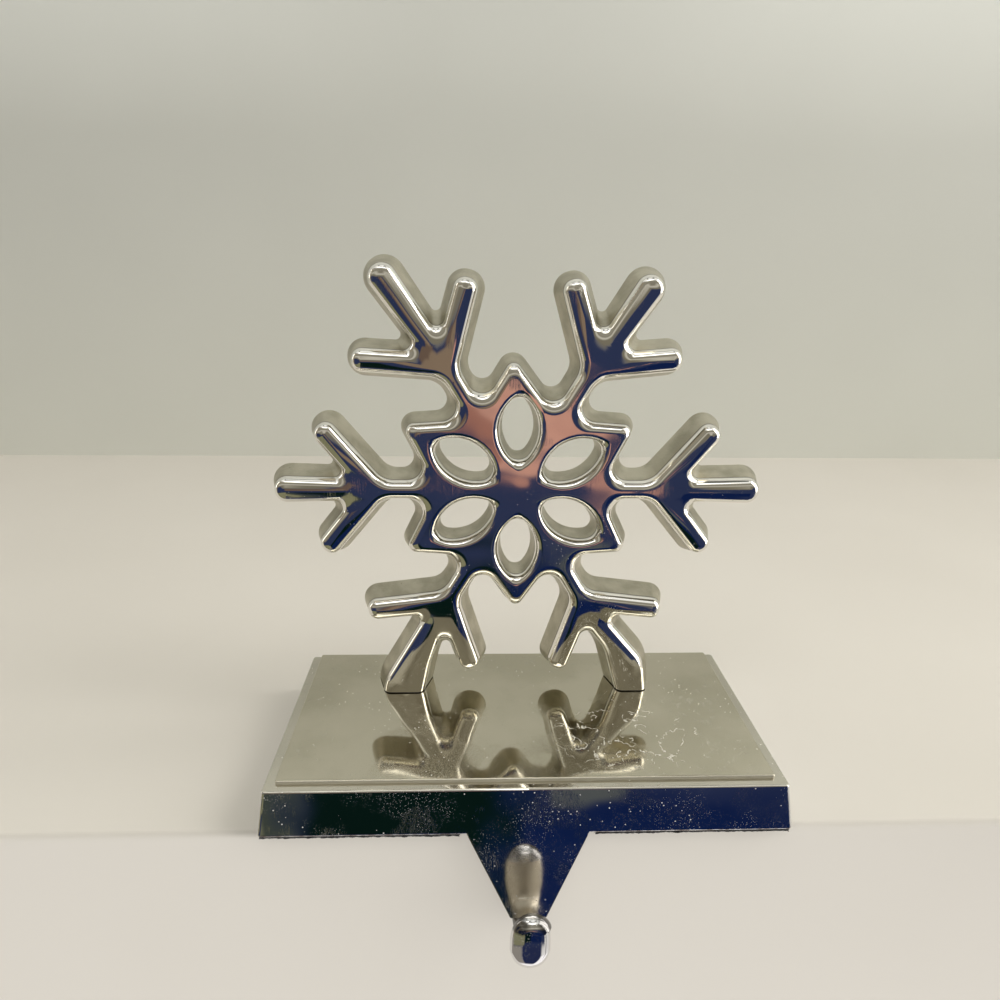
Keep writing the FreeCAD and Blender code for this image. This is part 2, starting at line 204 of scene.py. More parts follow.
def along_oval(halves, angle, samples=12):
    """Points and directions into the opening, round a pointed window."""
    length, width, end_round = halves
    end = length - end_round
    side_round = (end ** 2 + width ** 2 - end_round ** 2) / (2 * (width - end_round))
    lean = math.atan2(side_round - width, end)
    arcs = [
        (end, 0, end_round, -lean, lean),
        (0, width - side_round, side_round, lean, math.pi - lean),
        (-end, 0, end_round, math.pi - lean, math.pi + lean),
        (0, side_round - width, side_round, math.pi + lean, 2 * math.pi - lean),
    ]
    points = []
    for cx, cy, rounding, first, last in arcs:
        for k in range(samples):
            a = first + (last - first) * k / samples
            c, s = math.cos(a), math.sin(a)
            x, y = turned((WINDOW_REACH + cx + rounding * c, cy + rounding * s), angle)
            points.append((x, y, *turned((-c, -s), angle)))
    return points


# Plate walls

def edge_profile():
    """(inset share, depth share) down the rounded edge. It starts gently from the flat front."""
    spots = [(0.0, 0.0)]
    for k in range(PROFILE_STEPS):
        tilt = math.pi / 2 * ((k + 0.5) / PROFILE_STEPS) ** PROFILE_SOFTNESS
        spots.append((spots[-1][0] + math.cos(tilt), spots[-1][1] + math.sin(tilt)))
    return [(1 - a / spots[-1][0], b / spots[-1][1]) for a, b in spots]


def shaded_row(points, y, ahead, rise):
    """One row of (point, normal). ahead has the points of the wall further back by rise."""
    row = []
    for (px, pz, nx, nz), (qx, qz, _, _) in zip(points, ahead):
        out = (qx - px) * nx + (qz - pz) * nz
        normal = Vector((nx * rise, -out, nz * rise)).normalized()
        beyond = (math.hypot(px, pz) - CROWN_START) / (CROWN_FULL - CROWN_START)
        crown = CROWN * min(1.0, max(0.0, beyond))
        if normal.y < -math.cos(crown):
            normal = Vector((nx * math.sin(crown), -math.cos(crown), nz * math.sin(crown)))
        row.append((Vector((FLAKE_X + px, y, FLAKE_Z + pz)), normal))
    return row


def wall_rings(edge_at, back_edge_at):
    """Rows of (point, normal) down one wall: the rounded front edge, the side, then the back edge.

    edge_at(inset share) gives the points and directions of one row of the rounded edge, and
    back_edge_at(share of the flare) those of one row of the side. Two rows meet at the crease, so
    that it shades sharply.
    """
    rows = []
    profile = edge_profile()
    for step in range(0, PROFILE_STEPS + 1, PROFILE_STRIDE):
        inset, depth = profile[step]
        before, after = profile[max(step - 1, 0)], profile[min(step + 1, PROFILE_STEPS)]
        here, inner, outer = edge_at(inset), edge_at(before[0]), edge_at(after[0])
        towards = [(h[0] + b[0] - a[0], h[1] + b[1] - a[1], 0, 0)
                   for h, a, b in zip(here, inner, outer)]
        rise = 0.0 if step == 0 else ROUND_DEPTH * (after[1] - before[1])
        rows.append(shaded_row(here, FLAKE_FRONT + ROUND_DEPTH * depth, towards, rise))
    wall = FLAKE_BACK - CREASE
    start, finish = back_edge_at(0), back_edge_at(1)
    rest = 1 - BACK_EDGE / wall
    for share in (0, rest / 2, rest):
        row, ahead = blended(start, finish, share), blended(start, finish, share + 1)
        rows.append(shaded_row(row, CREASE + share * wall, ahead, wall))
    wall_end = rows[-1]
    for turn in (30, 60, 90):
        c, s = math.cos(math.radians(turn)), math.sin(math.radians(turn))
        row = []
        for point, normal in wall_end:
            out = Vector((normal.x, 0, normal.z)).normalized()
            place = point - out * BACK_EDGE * (1 - c)
            row.append((Vector((place.x, FLAKE_BACK - BACK_EDGE * (1 - s), place.z)),
                        (out * c + Vector((0, s, 0))).normalized()))
        rows.append(row)
    return rows


# Pieces

def add_piece(name, mesh, material):
    """A new object of that mesh and material, in the scene."""
    mesh.materials.append(material)
    piece = bpy.data.objects.new(name, mesh)
    bpy.context.scene.collection.objects.link(piece)
    return piece


def ring_edges(bm, ring):
    """The edges from each vertex of a closed ring to the next."""
    return [bm.edges.get((ring[k], ring[(k + 1) % len(ring)])) for k in range(len(ring))]


def sweep(bm, facing, rows):
    """Quads between rows of (point, normal). Gives the first and the last row's edges."""
    grid = []
    for row in rows:
        verts = []
        for point, normal in row:
            vert = bm.verts.new(point * MM)
            vert[facing] = normal
            verts.append(vert)
        grid.append(verts)
    count = len(grid[0])
    for upper, lower in zip(grid, grid[1:]):
        if (upper[0].co - lower[0].co).length < 1e-9:
            continue
        for k in range(count):
            m = (k + 1) % count
            bm.faces.new((upper[k], lower[k], lower[m], upper[m]))
    return ring_edges(bm, grid[0]), ring_edges(bm, grid[-1])


def close_foot(bm, facing, cut, side):
    """A narrow recess under a foot, so that a thin joint line shows where it stands on the base."""
    spots = []
    for vert in bm.verts:
        if abs(vert.co.z - cut) < 1e-7 and vert.co.x * side > 0:
            if all((vert.co - spot).length > 1e-6 for spot in spots):
                spots.append(vert.co.copy())
    middle = sum(spots, Vector()) / len(spots)
    spots.sort(key=lambda spot: math.atan2(spot.y - middle.y, spot.x - middle.x))
    recess = JOINT_RECESS * MM
    rings = []
    for height, inset, flat in ((cut, 0, True), (cut, recess, True), (cut, recess, False),
                                (BASE_TOP * MM, recess, False)):
        ring = []
        for spot in spots:
            out = Vector((spot.x - middle.x, spot.y - middle.y, 0)).normalized()
            place = spot - out * inset
            vert = bm.verts.new((place.x, place.y, height))
            vert[facing] = Vector((0, 0, -1)) if flat else out
            ring.append(vert)
        rings.append(ring)
    for upper, lower in (rings[:2], rings[2:]):
        for k in range(len(spots)):
            m = (k + 1) % len(spots)
            bm.faces.new((upper[k], lower[k], lower[m], upper[m]))


def make_flake(material):
    """The snowflake: the casting's outline, with a truly round front edge and fine walls."""
    outline = plate_outline()
    bm = bmesh.new()
    facing = bm.verts.layers.float_vector.new("facing")
    side_line = along_corners(outline)
    flared_line = along_corners(grown(outline, SIDE_FLARE))
    rows = wall_rings(lambda inset: along_corners(grown(outline, -inset * ROUND_WIDTH)),
                      lambda share: blended(side_line, flared_line, share))
    front_edges, back_edges = sweep(bm, facing, rows)
    narrow = tuple(half - WINDOW_FLARE for half in WINDOW_HALVES)
    for angle in range(30, 390, 60):
        rows = wall_rings(
            lambda inset: along_oval(blended(WINDOW_HALVES, RIM_HALVES, inset), angle),
            lambda share: along_oval(blended(WINDOW_HALVES, narrow, share), angle))
        front, back = sweep(bm, facing, [row[::-1] for row in rows])
        front_edges += front
        back_edges += back
    bmesh.ops.triangle_fill(bm, use_beauty=True, edges=front_edges, normal=(0, -1, 0))
    bmesh.ops.triangle_fill(bm, use_beauty=True, edges=back_edges, normal=(0, 1, 0))
    cut = (BASE_TOP + JOINT_GAP) * MM
    everything = bm.verts[:] + bm.edges[:] + bm.faces[:]
    bmesh.ops.bisect_plane(bm, geom=everything, dist=1e-8, plane_co=(0, 0, cut),
                           plane_no=(0, 0, 1), clear_inner=True)
    for side in (-1, 1):
        close_foot(bm, facing, cut, side)
    mesh = bpy.data.meshes.new("snowflake")
    for face in bm.faces:
        face.smooth = True
    bm.verts.index_update()
    normals = [vert[facing].normalized() for vert in bm.verts]
    bm.to_mesh(mesh)
    bm.free()
    mesh.normals_split_custom_set_from_vertices(normals)
    return add_piece("snowflake", mesh, material)


def front_wall(z):
    """Y of the base's leaning front wall, and of the tongue in line with it, at a height."""
    return WALL_FOOT + WALL_FLARE * (z - PAD_HEIGHT) / (SLAB_TOP - PAD_HEIGHT)


def finger_rings():
    """Rows of (y, z, turn, half width, half thickness ahead, behind) along the hook finger."""
    half, face = FINGER_HALF, front_wall(FINGER_TOP)
    root_y, tip_y = face + FINGER_SETBACK + half, face - FINGER_REACH
    low, tip_top = FINGER_TOP - FINGER_DROP - half, FINGER_TOP + FINGER_RISE
    heel, toe = FINGER_HEEL + half, FINGER_TOE + half
    path = [(root_y, FINGER_TOP + FINGER_ROOT - 0.6 * k, 0.0) for k in range(10)]
    path = [spot for spot in path if spot[1] > low + heel + 0.2]
    for turn in range(0, 91, 6):
        a = math.radians(turn)
        path.append((root_y - heel + heel * math.cos(a), low + heel - heel * math.sin(a), turn))
    path += [(blended(root_y - heel, tip_y + toe, k / 5), low, 90.0) for k in range(1, 5)]
    for turn in range(90, 181, 5):
        a = math.radians(turn)
        path.append((tip_y + toe + toe * math.cos(a), low + toe - toe * math.sin(a), turn))
    rings = []
    for y, z, turn in path:
        wide = FINGER_HALF_WIDTH - FINGER_NARROWING * math.sin(math.radians(turn))
        rings.append((y, z, turn, wide, half, half))
    crown = low + toe + 0.3
    for turn in range(0, 88, 4):
        up = math.sin(math.radians(turn))
        rings.append((tip_y, crown + (tip_top - crown) * up, 180.0,
                      FINGER_HALF_WIDTH * (1 - up ** 3.2) ** 0.43,
                      half * (1 - up ** 2) ** 0.5, half * (1 - up ** 5) ** 0.5))
    return rings


def is_finger(x, y, z):
    """Whether a face of the CAD base, by its middle in millimetres, belongs to the finger."""
    ahead = y < front_wall(z) - 0.02
    return z < FINGER_TOP - 0.03 or (ahead and z < -12 and abs(x - FINGER_X) < 5)


def make_base(material):
    """The base casting: the CAD faces, with the hook finger remade as one smooth rounded bar."""
    source = nodes["base_casting"].data
    points = [tuple(v.co) for v in source.vertices]
    corner_normals = [tuple(n.vector) for n in source.corner_normals]
    faces, normals = [], []
    for polygon in source.polygons:
        if not is_finger(*(value / MM for value in polygon.center)):
            faces.append(tuple(polygon.vertices))
            normals += [corner_normals[k] for k in polygon.loop_indices]
    bm = bmesh.new()
    grid = []
    for y, z, turn, wide, ahead, behind in finger_rings():
        c, s = math.cos(math.radians(turn)), math.sin(math.radians(turn))
        power = blended(0.86, 1.0, turn / 180)
        middle = FINGER_X - FINGER_DRIFT * turn / 180
        ring = []
        for k in range(FINGER_COUNT):
            a = 2 * math.pi * k / FINGER_COUNT
            ca, sa = math.cos(a), math.sin(a)
            across = math.copysign(abs(ca) ** power, ca) * wide
            out = math.copysign(abs(sa) ** power, sa) * (behind if (sa < 0) == (c < 0) else ahead)
            ring.append(bm.verts.new(Vector((middle + across, y - out * c, z + out * s)) * MM))
        grid.append(ring)
    for upper, lower in zip(grid, grid[1:]):
        for k in range(FINGER_COUNT):
            m = (k + 1) % FINGER_COUNT
            bm.faces.new((upper[k], upper[m], lower[m], lower[k]))
    bm.faces.new(grid[-1])
    bmesh.ops.recalc_face_normals(bm, faces=bm.faces[:])
    # The face on which the tongue ends, round the finger's root
    left, right, front, back = -4.3, 5.1, -34.6, -29.45
    lid = [bm.verts.new(Vector((x, y, FINGER_TOP + 0.02)) * MM)
           for x, y in ((left, front), (left, back), (right, back), (right, front))]
    bm.faces.new(lid)
    bm.normal_update()
    bm.verts.index_update()
    first = len(points)
    points += [tuple(v.co) for v in bm.verts]
    for face in bm.faces:
        faces.append(tuple(first + v.index for v in face.verts))
        flat = len(face.verts) == 4 and face.verts[0] is lid[0]
        normals += [tuple(face.normal if flat else v.normal) for v in face.verts]
    bm.free()
    mesh = bpy.data.meshes.new("base")
    mesh.from_pydata(points, [], faces)
    for polygon in mesh.polygons:
        polygon.use_smooth = True
    mesh.normals_split_custom_set(normals)
    return add_piece("base", mesh, material)


def pad_edge():
    """Points about 0.45 mm apart round the pad, with their outward directions."""
    half, front, back = PAD_HALF, -PAD_DEPTH_HALF, PAD_DEPTH_HALF
    corners = [
        (-half, front), (-PAD_NOTCH_HALF, front), (-PAD_NOTCH_HALF, PAD_NOTCH_BACK),
        (PAD_NOTCH_HALF, PAD_NOTCH_BACK), (PAD_NOTCH_HALF, front), (half, front),
        (half, back), (-half, back),
    ]
    edge = []
    for (ax, ay), (bx, by) in zip(corners, corners[1:] + corners[:1]):
        count = max(4, int(math.hypot(bx - ax, by - ay) / 0.45))
        out = Vector((by - ay, ax - bx, 0)).normalized()
        for k in range(count):
            edge.append((Vector((ax + (bx - ax) * k / count, ay + (by - ay) * k / count, 0)), out))
    return edge


def add_fibre(bm, spot, out):
    """One loose fibre at the pad's edge: a thin three-sided spike."""
    along = Vector((-out.y, out.x, 0))
    root = spot - out * 0.45 + along * random.uniform(-0.2, 0.2)
    root.z = random.uniform(0.12, 0.68)
    aim = out * random.uniform(0.2, 0.75) + along * random.uniform(-0.7, 0.7)
    tip = root + aim * random.uniform(0.5, 1.0)
    tip.z = min(0.76, max(0.03, root.z + random.uniform(-0.45, 0.3)))
    side = aim.normalized().cross(Vector((0, 0, 1))) * 0.035
    lift = Vector((0, 0, 0.03))
    ends = [bm.verts.new(p * MM) for p in (root + side, root - side, root + lift, tip)]
    for trio in ((0, 1, 3), (1, 2, 3), (2, 0, 3)):
        bm.faces.new([ends[k] for k in trio])


def make_felt(material):
    """The felt pad: its CAD outline with a ragged edge and loose fibres, cut away at the tongue."""
    edge = pad_edge()
    bm = bmesh.new()
    rows = []
    for level in (0.0, 0.16, 0.42, 0.66, PAD_HEIGHT):
        row = []
        for spot, out in edge:
            grain = Vector((spot.x * 0.9, spot.y * 0.9, level * 2.2))
            ragged = noise.fractal(grain, 0.7, 2.0, 4)
            slow = noise.noise(Vector((spot.x * 0.11, spot.y * 0.11, 5.0)))
            pull = 0.16 + 0.20 * abs(slow) + 0.26 * max(-1.0, min(1.0, ragged))
            if level in (0.0, PAD_HEIGHT):
                pull += 0.10
            place = spot - out * max(pull, -0.25) + Vector((0, 0, level))
            row.append(bm.verts.new(place * MM))
        rows.append(row)
    for lower, upper in zip(rows, rows[1:]):
        for k in range(len(edge)):
            m = (k + 1) % len(edge)
            bm.faces.new((lower[k], lower[m], upper[m], upper[k]))
    for row, up in ((rows[0], -1), (rows[-1], 1)):
        bmesh.ops.triangle_fill(bm, use_beauty=True, edges=ring_edges(bm, row), normal=(0, 0, up))
    for _ in range(PAD_FIBRES):
        add_fibre(bm, *edge[random.randrange(len(edge))])
    mesh = bpy.data.meshes.new("felt")
    bm.normal_update()
    bm.to_mesh(mesh)
    bm.free()
    return add_piece("felt", mesh, material)


# Node trees

class Tree:
    """A node tree, with short ways to add what the finishes and the surroundings need."""

    def __init__(self, tree):
        self.tree = tree

    def node(self, kind, *inputs, **settings):
        """A new node with its inputs in order. A socket is linked and a number is set."""
        made = self.tree.nodes.new(kind)
        for key, value in settings.items():
            setattr(made, key, value)
        for socket, value in zip(made.inputs, inputs):
            if isinstance(value, bpy.types.NodeSocket):
                self.tree.links.new(value, socket)
            elif value is not None:
                socket.default_value = value
        return made

    def math(self, operation, *values):
        return self.node("ShaderNodeMath", *values, operation=operation).outputs[0]

    def times(self, first, *others):
        """The product of some numbers."""
        for other in others:
            first = self.math("MULTIPLY", first, other)
        return first

    def most(self, first, *others):
        """The largest of some numbers."""
        for other in others:
            first = self.math("MAXIMUM", first, other)
        return first

    def rest(self, value):
        """What is left of 1."""
        return self.math("SUBTRACT", 1.0, value)

    def step(self, value, low, high):
        """0 below low, 1 above high, smooth between. High may be the lower one."""
        return self.node("ShaderNodeMapRange", value, low, high, 0.0, 1.0,
                         interpolation_type="SMOOTHSTEP").outputs[0]

    def spread(self, value, low, high):
        """0..1 spread over low..high."""
        return self.node("ShaderNodeMapRange", value, 0.0, 1.0, low, high).outputs[0]

    def mix(self, share, first, second):
        """One colour over another."""
        made = self.node("ShaderNodeMix", data_type="RGBA")
        places = (made.inputs[0], made.inputs[6], made.inputs[7])
        for socket, value in zip(places, (share, first, second)):
            if isinstance(value, bpy.types.NodeSocket):
                self.tree.links.new(value, socket)
            elif isinstance(value, tuple):
                socket.default_value = (*value, 1.0)
            else:
                socket.default_value = value
        return made.outputs[2]


class Shader(Tree):
    """A material, with what it needs to follow the object's own place in millimetres."""

    def __init__(self, name, **settings):
        self.material = bpy.data.materials.new(name)
        self.material.use_nodes = True
        super().__init__(self.material.node_tree)
        self.bsdf = self.tree.nodes["Principled BSDF"]
        for key, value in settings.items():
            self.bsdf.inputs[key.replace("_", " ")].default_value = value
        self.place = self.node("ShaderNodeTexCoord").outputs["Object"]
        self.x, self.y, self.z = self.node("ShaderNodeSeparateXYZ", self.place).outputs

    def along(self, place, low, high):
        """A step between two places along an axis, in millimetres."""
        return self.step(place, low * MM, high * MM)

    def stretched(self, scale, turn=(0, 0, 0)):
        """The object's own coordinates in millimetres, scaled and turned."""
        made = self.node("ShaderNodeMapping", self.place)
        made.inputs["Scale"].default_value = [1000 * value for value in scale]
        made.inputs["Rotation"].default_value = [math.radians(value) for value in turn]
        return made.outputs[0]

    def noise(self, scale, detail=2.0, vector=None, roughness=0.5):
        """Noise of that many waves a millimetre."""
        made = self.node("ShaderNodeTexNoise", vector or self.stretched((1, 1, 1)))
        made.inputs["Scale"].default_value = scale
        made.inputs["Detail"].default_value = detail
        made.inputs["Roughness"].default_value = roughness
        return made.outputs[0]

    def clouds(self, scale, detail, low, high):
        """Patches of noise, with a step between them."""
        return self.step(self.noise(scale, detail), low, high)

    def dots(self, scale, low, high):
        """Round dots, one in each cell, 1 in their middles."""
        made = self.node("ShaderNodeTexVoronoi", self.stretched((1, 1, 1)))
        made.inputs["Scale"].default_value = scale
        return self.step(made.outputs["Distance"], low, high)

    def blend(self, share, first, second):
        """One number over another."""
        made = self.node("ShaderNodeMix", share, None, first, second)
        made.data_type = "FLOAT"
        return made.outputs[0]

    def link(self, name, socket):
        self.tree.links.new(socket, self.bsdf.inputs[name])

    def bump(self, height, distance, normal=None):
        """A bump of that height in millimetres, over another one."""
        made = self.node("ShaderNodeBump")
        made.inputs["Strength"].default_value = 1.0
        made.inputs["Distance"].default_value = distance * MM
        self.tree.links.new(height, made.inputs["Height"])
        if normal is not None:
            self.tree.links.new(normal, made.inputs["Normal"])
        return made.outputs[0]

    def scratches(self, turn, fineness, cut):
        """Thin broken lines across one direction, 0 to 1."""
        lines = self.noise(1.0, 1.0, self.stretched((fineness, fineness, 0.035), turn))
        thin = self.math("ABSOLUTE", self.math("SUBTRACT", lines, 0.5))
        return self.times(self.step(thin, 0.012, 0.0), self.clouds(0.09, 2.0, cut, cut + 0.06))


# Finishes

def plate_finish():
    """Nickel plate: polished front, satin sides, painted shade in the crease and at the feet."""
    m = Shader("plate_finish", Metallic=1.0)
    side = m.along(m.y, CREASE + 0.02, CREASE + 0.12)
    # Painted shade: a dark line along the crease, and a dark band at the bottom of each foot where
    # it stands on the base
    crease = m.times(m.along(m.y, CREASE - 0.28, CREASE - 0.02),
                     m.along(m.y, CREASE + 0.42, CREASE + 0.1))
    foot = m.along(m.z, BASE_TOP + 0.42, BASE_TOP + 0.2)

    polished = m.mix(m.clouds(0.055, 3.0, 0.35, 0.7), (0.88, 0.86, 0.81), (0.82, 0.80, 0.76))
    satin = m.mix(m.clouds(0.16, 4.0, 0.35, 0.68), (0.53, 0.50, 0.405), (0.39, 0.365, 0.285))
    pits = m.times(m.dots(0.42, 0.085, 0.05), m.clouds(0.21, 1.0, 0.56, 0.62))
    # The crease and foot masks are painted shade; the pits are real dark pits
    painted_shade_and_pits = m.most(m.times(crease, 0.62), foot, m.times(pits, 0.5))
    colour = m.mix(painted_shade_and_pits, m.mix(side, polished, satin), (0.045, 0.042, 0.038))
    dust = m.times(m.dots(1.3, 0.16, 0.06), m.clouds(0.13, 2.0, 0.46, 0.62),
                   m.spread(m.along(m.z, 84, 60), 0.25, 1.0), m.rest(side))
    m.link("Base Color", m.mix(m.times(dust, 0.6), colour, (0.62, 0.61, 0.58)))
    m.link("Metallic", m.rest(m.times(dust, 0.45)))

    haze = m.spread(m.noise(0.11, 3.0), 0.035, 0.095)
    grain = m.spread(m.noise(1.1, 4.0), 0.30, 0.44)
    m.link("Roughness", m.most(m.blend(side, haze, grain), m.times(painted_shade_and_pits, 0.5), m.times(dust, 0.5)))

    wave = m.bump(m.noise(0.045, 1.0), 0.50)
    wave = m.bump(m.noise(0.13, 0.0), 0.05, wave)
    wave = m.bump(m.times(m.noise(1.7, 3.0), side), 0.09, wave)
    lines = m.most(m.scratches((20, 15, 40), 3.1, 0.57), m.scratches((0, 75, 10), 2.7, 0.58),
                   m.scratches((0, -38, 5), 3.4, 0.54))
    m.link("Normal", m.bump(lines, -0.004, wave))
    return m.material


def water_marks(m, top, smudge):
    """Thin curled lines on the base's top, most of them in one patch in front of the right foot."""
    lines = m.math("ABSOLUTE", m.math("SUBTRACT", m.noise(0.20, 3.0), 0.52))
    across = m.math("POWER", m.times(m.math("SUBTRACT", m.x, 0.027), 52.0), 2.0)
    away = m.math("POWER", m.times(m.math("ADD", m.y, 0.012), 75.0), 2.0)
    patch = m.times(m.step(m.math("ADD", across, away), 1.3, 0.5), top)
    return m.times(m.step(lines, 0.016, 0.004), m.blend(patch, m.times(smudge, 0.25), 1.0),
                   top, m.clouds(0.5, 2.0, 0.40, 0.55))


def base_dust(m, top, smudge):
    """Dust, fine specks and water marks on the base."""
    dust = m.times(m.dots(0.62, 0.13, 0.05), m.clouds(0.075, 2.0, 0.42, 0.60))
    specks = m.times(m.dots(2.6, 0.24, 0.08), m.clouds(0.11, 3.0, 0.42, 0.62))
    return m.most(dust, m.times(specks, m.spread(top, 0.55, 0.25)),
                  m.times(water_marks(m, top, smudge), 0.8))


def base_finish():
    """Nickel plate on the base: hazy smudged top, mirror walls with specks, worn lower edge,
    painted shade on the tongue's sides.
    """
    m = Shader("base_finish", Metallic=1.0)
    normal = m.node("ShaderNodeSeparateXYZ", m.node("ShaderNodeNewGeometry").outputs["Normal"])
    sideways, facing, upward = normal.outputs
    from_middle = m.math("ABSOLUTE", m.x)
    top = m.along(m.z, SLAB_TOP - 0.3, SLAB_TOP + 0.15)
    smudge = m.clouds(0.035, 4.0, 0.42, 0.66)
    dust = base_dust(m, top, smudge)
    pits = m.times(m.dots(1.15, 0.12, 0.06), m.clouds(0.14, 2.0, 0.54, 0.64))
    # Rust along the lower edge, the finger, the satin inside of its bend, painted shade on the
    # tongue's side faces and the rubbed front edge of the tier
    rust = m.times(m.along(m.z, 1.9, 1.1), m.along(m.z, 0.5, 0.8),
                   m.along(from_middle, 15.2, 16.0), m.clouds(0.5, 3.0, 0.4, 0.65))
    finger = m.times(m.along(m.z, -12.0, -13.0), m.along(m.y, -35.0, -36.0))
    saddle = m.times(m.step(upward, 0.1, 0.5), m.along(m.z, -17.0, -20.0))
    inside = m.times(finger, m.most(m.step(facing, -0.1, 0.35), saddle))
    # Painted shade: faces that turn sideways, low at the front, mostly the tongue's sides, are
    # darkened
    painted_side_shade = m.times(m.along(m.z, 0.6, 0.0), m.rest(finger), m.along(m.y, -28.0, -30.0),
                  m.step(m.math("ABSOLUTE", sideways), 0.05, 0.35))
    worn = m.times(m.along(m.z, SLAB_TOP - 0.25, SLAB_TOP - 0.05),
                   m.along(m.z, BASE_TOP - 0.02, BASE_TOP - 0.14), m.step(facing, -0.2, -0.6))

    wall = m.mix(m.clouds(0.05, 3.0, 0.3, 0.7), (0.80, 0.79, 0.78), (0.70, 0.69, 0.70))
    flat = m.mix(smudge, (0.62, 0.585, 0.48), (0.53, 0.50, 0.40))
    colour = m.mix(top, wall, flat)
    colour = m.mix(m.times(dust, 0.8), colour, (0.80, 0.78, 0.72))
    colour = m.mix(m.times(pits, 0.75), colour, (0.09, 0.085, 0.08))
    colour = m.mix(rust, colour, (0.20, 0.14, 0.12))
    cast = m.mix(m.noise(0.35, 3.0), (0.60, 0.55, 0.44), (0.47, 0.42, 0.33))
    colour = m.mix(inside, colour, cast)
    # Painted shade on the tongue's sides
    colour = m.mix(m.times(painted_side_shade, 0.8), colour, (0.10, 0.095, 0.09))
    m.link("Base Color", m.mix(worn, colour, (0.62, 0.59, 0.50)))
    m.link("Metallic", m.rest(m.most(m.times(dust, 0.8), m.times(worn, 0.55))))

    hazy = m.spread(m.noise(0.05, 4.0), 0.02, 0.10)
    mirror = m.spread(m.noise(0.09, 3.0), 0.02, 0.06)
    tongue = m.times(m.along(m.z, 3.0, -6.0), m.rest(finger))
    m.link("Roughness", m.most(
        m.blend(top, mirror, hazy), m.times(m.most(dust, pits), 0.55), m.times(worn, 0.4),
        m.times(tongue, m.spread(m.noise(0.2, 3.0), 0.07, 0.15)), m.times(inside, 0.42)))

    lines = m.most(m.scratches((90, 0, 25), 2.4, 0.50), m.scratches((90, 0, 118), 2.9, 0.53),
                   m.times(m.scratches((8, 4, 0), 3.2, 0.53), 0.4))
    wave = m.bump(lines, -0.004, m.bump(m.noise(0.05, 1.0), 0.32))
    m.link("Normal", m.bump(m.math("SUBTRACT", dust, pits), 0.02, wave))
    return m.material


def screw_finish():
    """Zinc-grey steel, turned, with a dull cast."""
    m = Shader("screw_finish", Metallic=1.0)
    rings = m.noise(1.0, 2.0, m.stretched((0.4, 0.4, 6.0)))
    m.link("Base Color", m.mix(rings, (0.52, 0.52, 0.51), (0.40, 0.40, 0.40)))
    m.link("Roughness", m.spread(m.noise(0.9, 3.0), 0.26, 0.46))
    m.link("Normal", m.bump(rings, 0.03))
    return m.material


def felt_finish():
    """Black felt: matted fibres with a little grey lint."""
    m = Shader("felt_finish", Roughness=0.96, Sheen_Weight=0.35, Sheen_Roughness=0.5)
    fibres = m.noise(2.2, 4.0, m.stretched((1.0, 1.0, 2.5)), 0.7)
    colour = m.mix(fibres, (0.010, 0.010, 0.011), (0.035, 0.034, 0.035))
    lint = m.times(m.clouds(0.9, 2.0, 0.66, 0.74), 0.5)
    m.link("Base Color", m.mix(lint, colour, (0.14, 0.135, 0.13)))
    m.link("Normal", m.bump(fibres, 0.22))
    return m.material


def stage_finish(name, first, second):
    """Pale matt paint for the floor and the backdrop."""
    m = Shader(name, Roughness=0.72)
    m.link("Base Color", m.mix(m.noise(0.012, 1.0), first, second))
    return m.material


# Stage, light and camera

def make_stage():
    """A pale plinth under the base, its front face behind the tongue, and a pale backdrop."""
    floor_paint = stage_finish("stage_floor", (0.64, 0.61, 0.56), (0.60, 0.57, 0.52))
    wall_paint = stage_finish("stage_wall", (0.74, 0.75, 0.70), (0.70, 0.71, 0.66))
    half, front, wall, edge, low, high = 1400.0, -29.2, 318.0, 1.6, -900.0, 1500.0
    profile = [(wall, 0.0)]
    for turn in range(0, 91, 15):
        c, s = math.cos(math.radians(turn)), math.sin(math.radians(turn))
        profile.append((front + edge - edge * s, -edge + edge * c))
    profile += [(front, low), (wall, low)]
    bm = bmesh.new()
    sides = [[bm.verts.new((x * MM, y * MM, z * MM)) for y, z in profile] for x in (-half, half)]
    for k in range(len(profile)):
        m = (k + 1) % len(profile)
        bm.faces.new((sides[0][k], sides[1][k], sides[1][m], sides[0][m]))
    plinth = bpy.data.meshes.new("plinth")
    bm.normal_update()
    bm.to_mesh(plinth)
    bm.free()
    add_piece("plinth", plinth, floor_paint)
    backdrop = bpy.data.meshes.new("backdrop")
    corners = ((-half, low), (half, low), (half, high), (-half, high))
    backdrop.from_pydata([(x * MM, wall * MM, z * MM) for x, z in corners], [], [(0, 1, 2, 3)])
    add_piece("backdrop", backdrop, wall_paint)


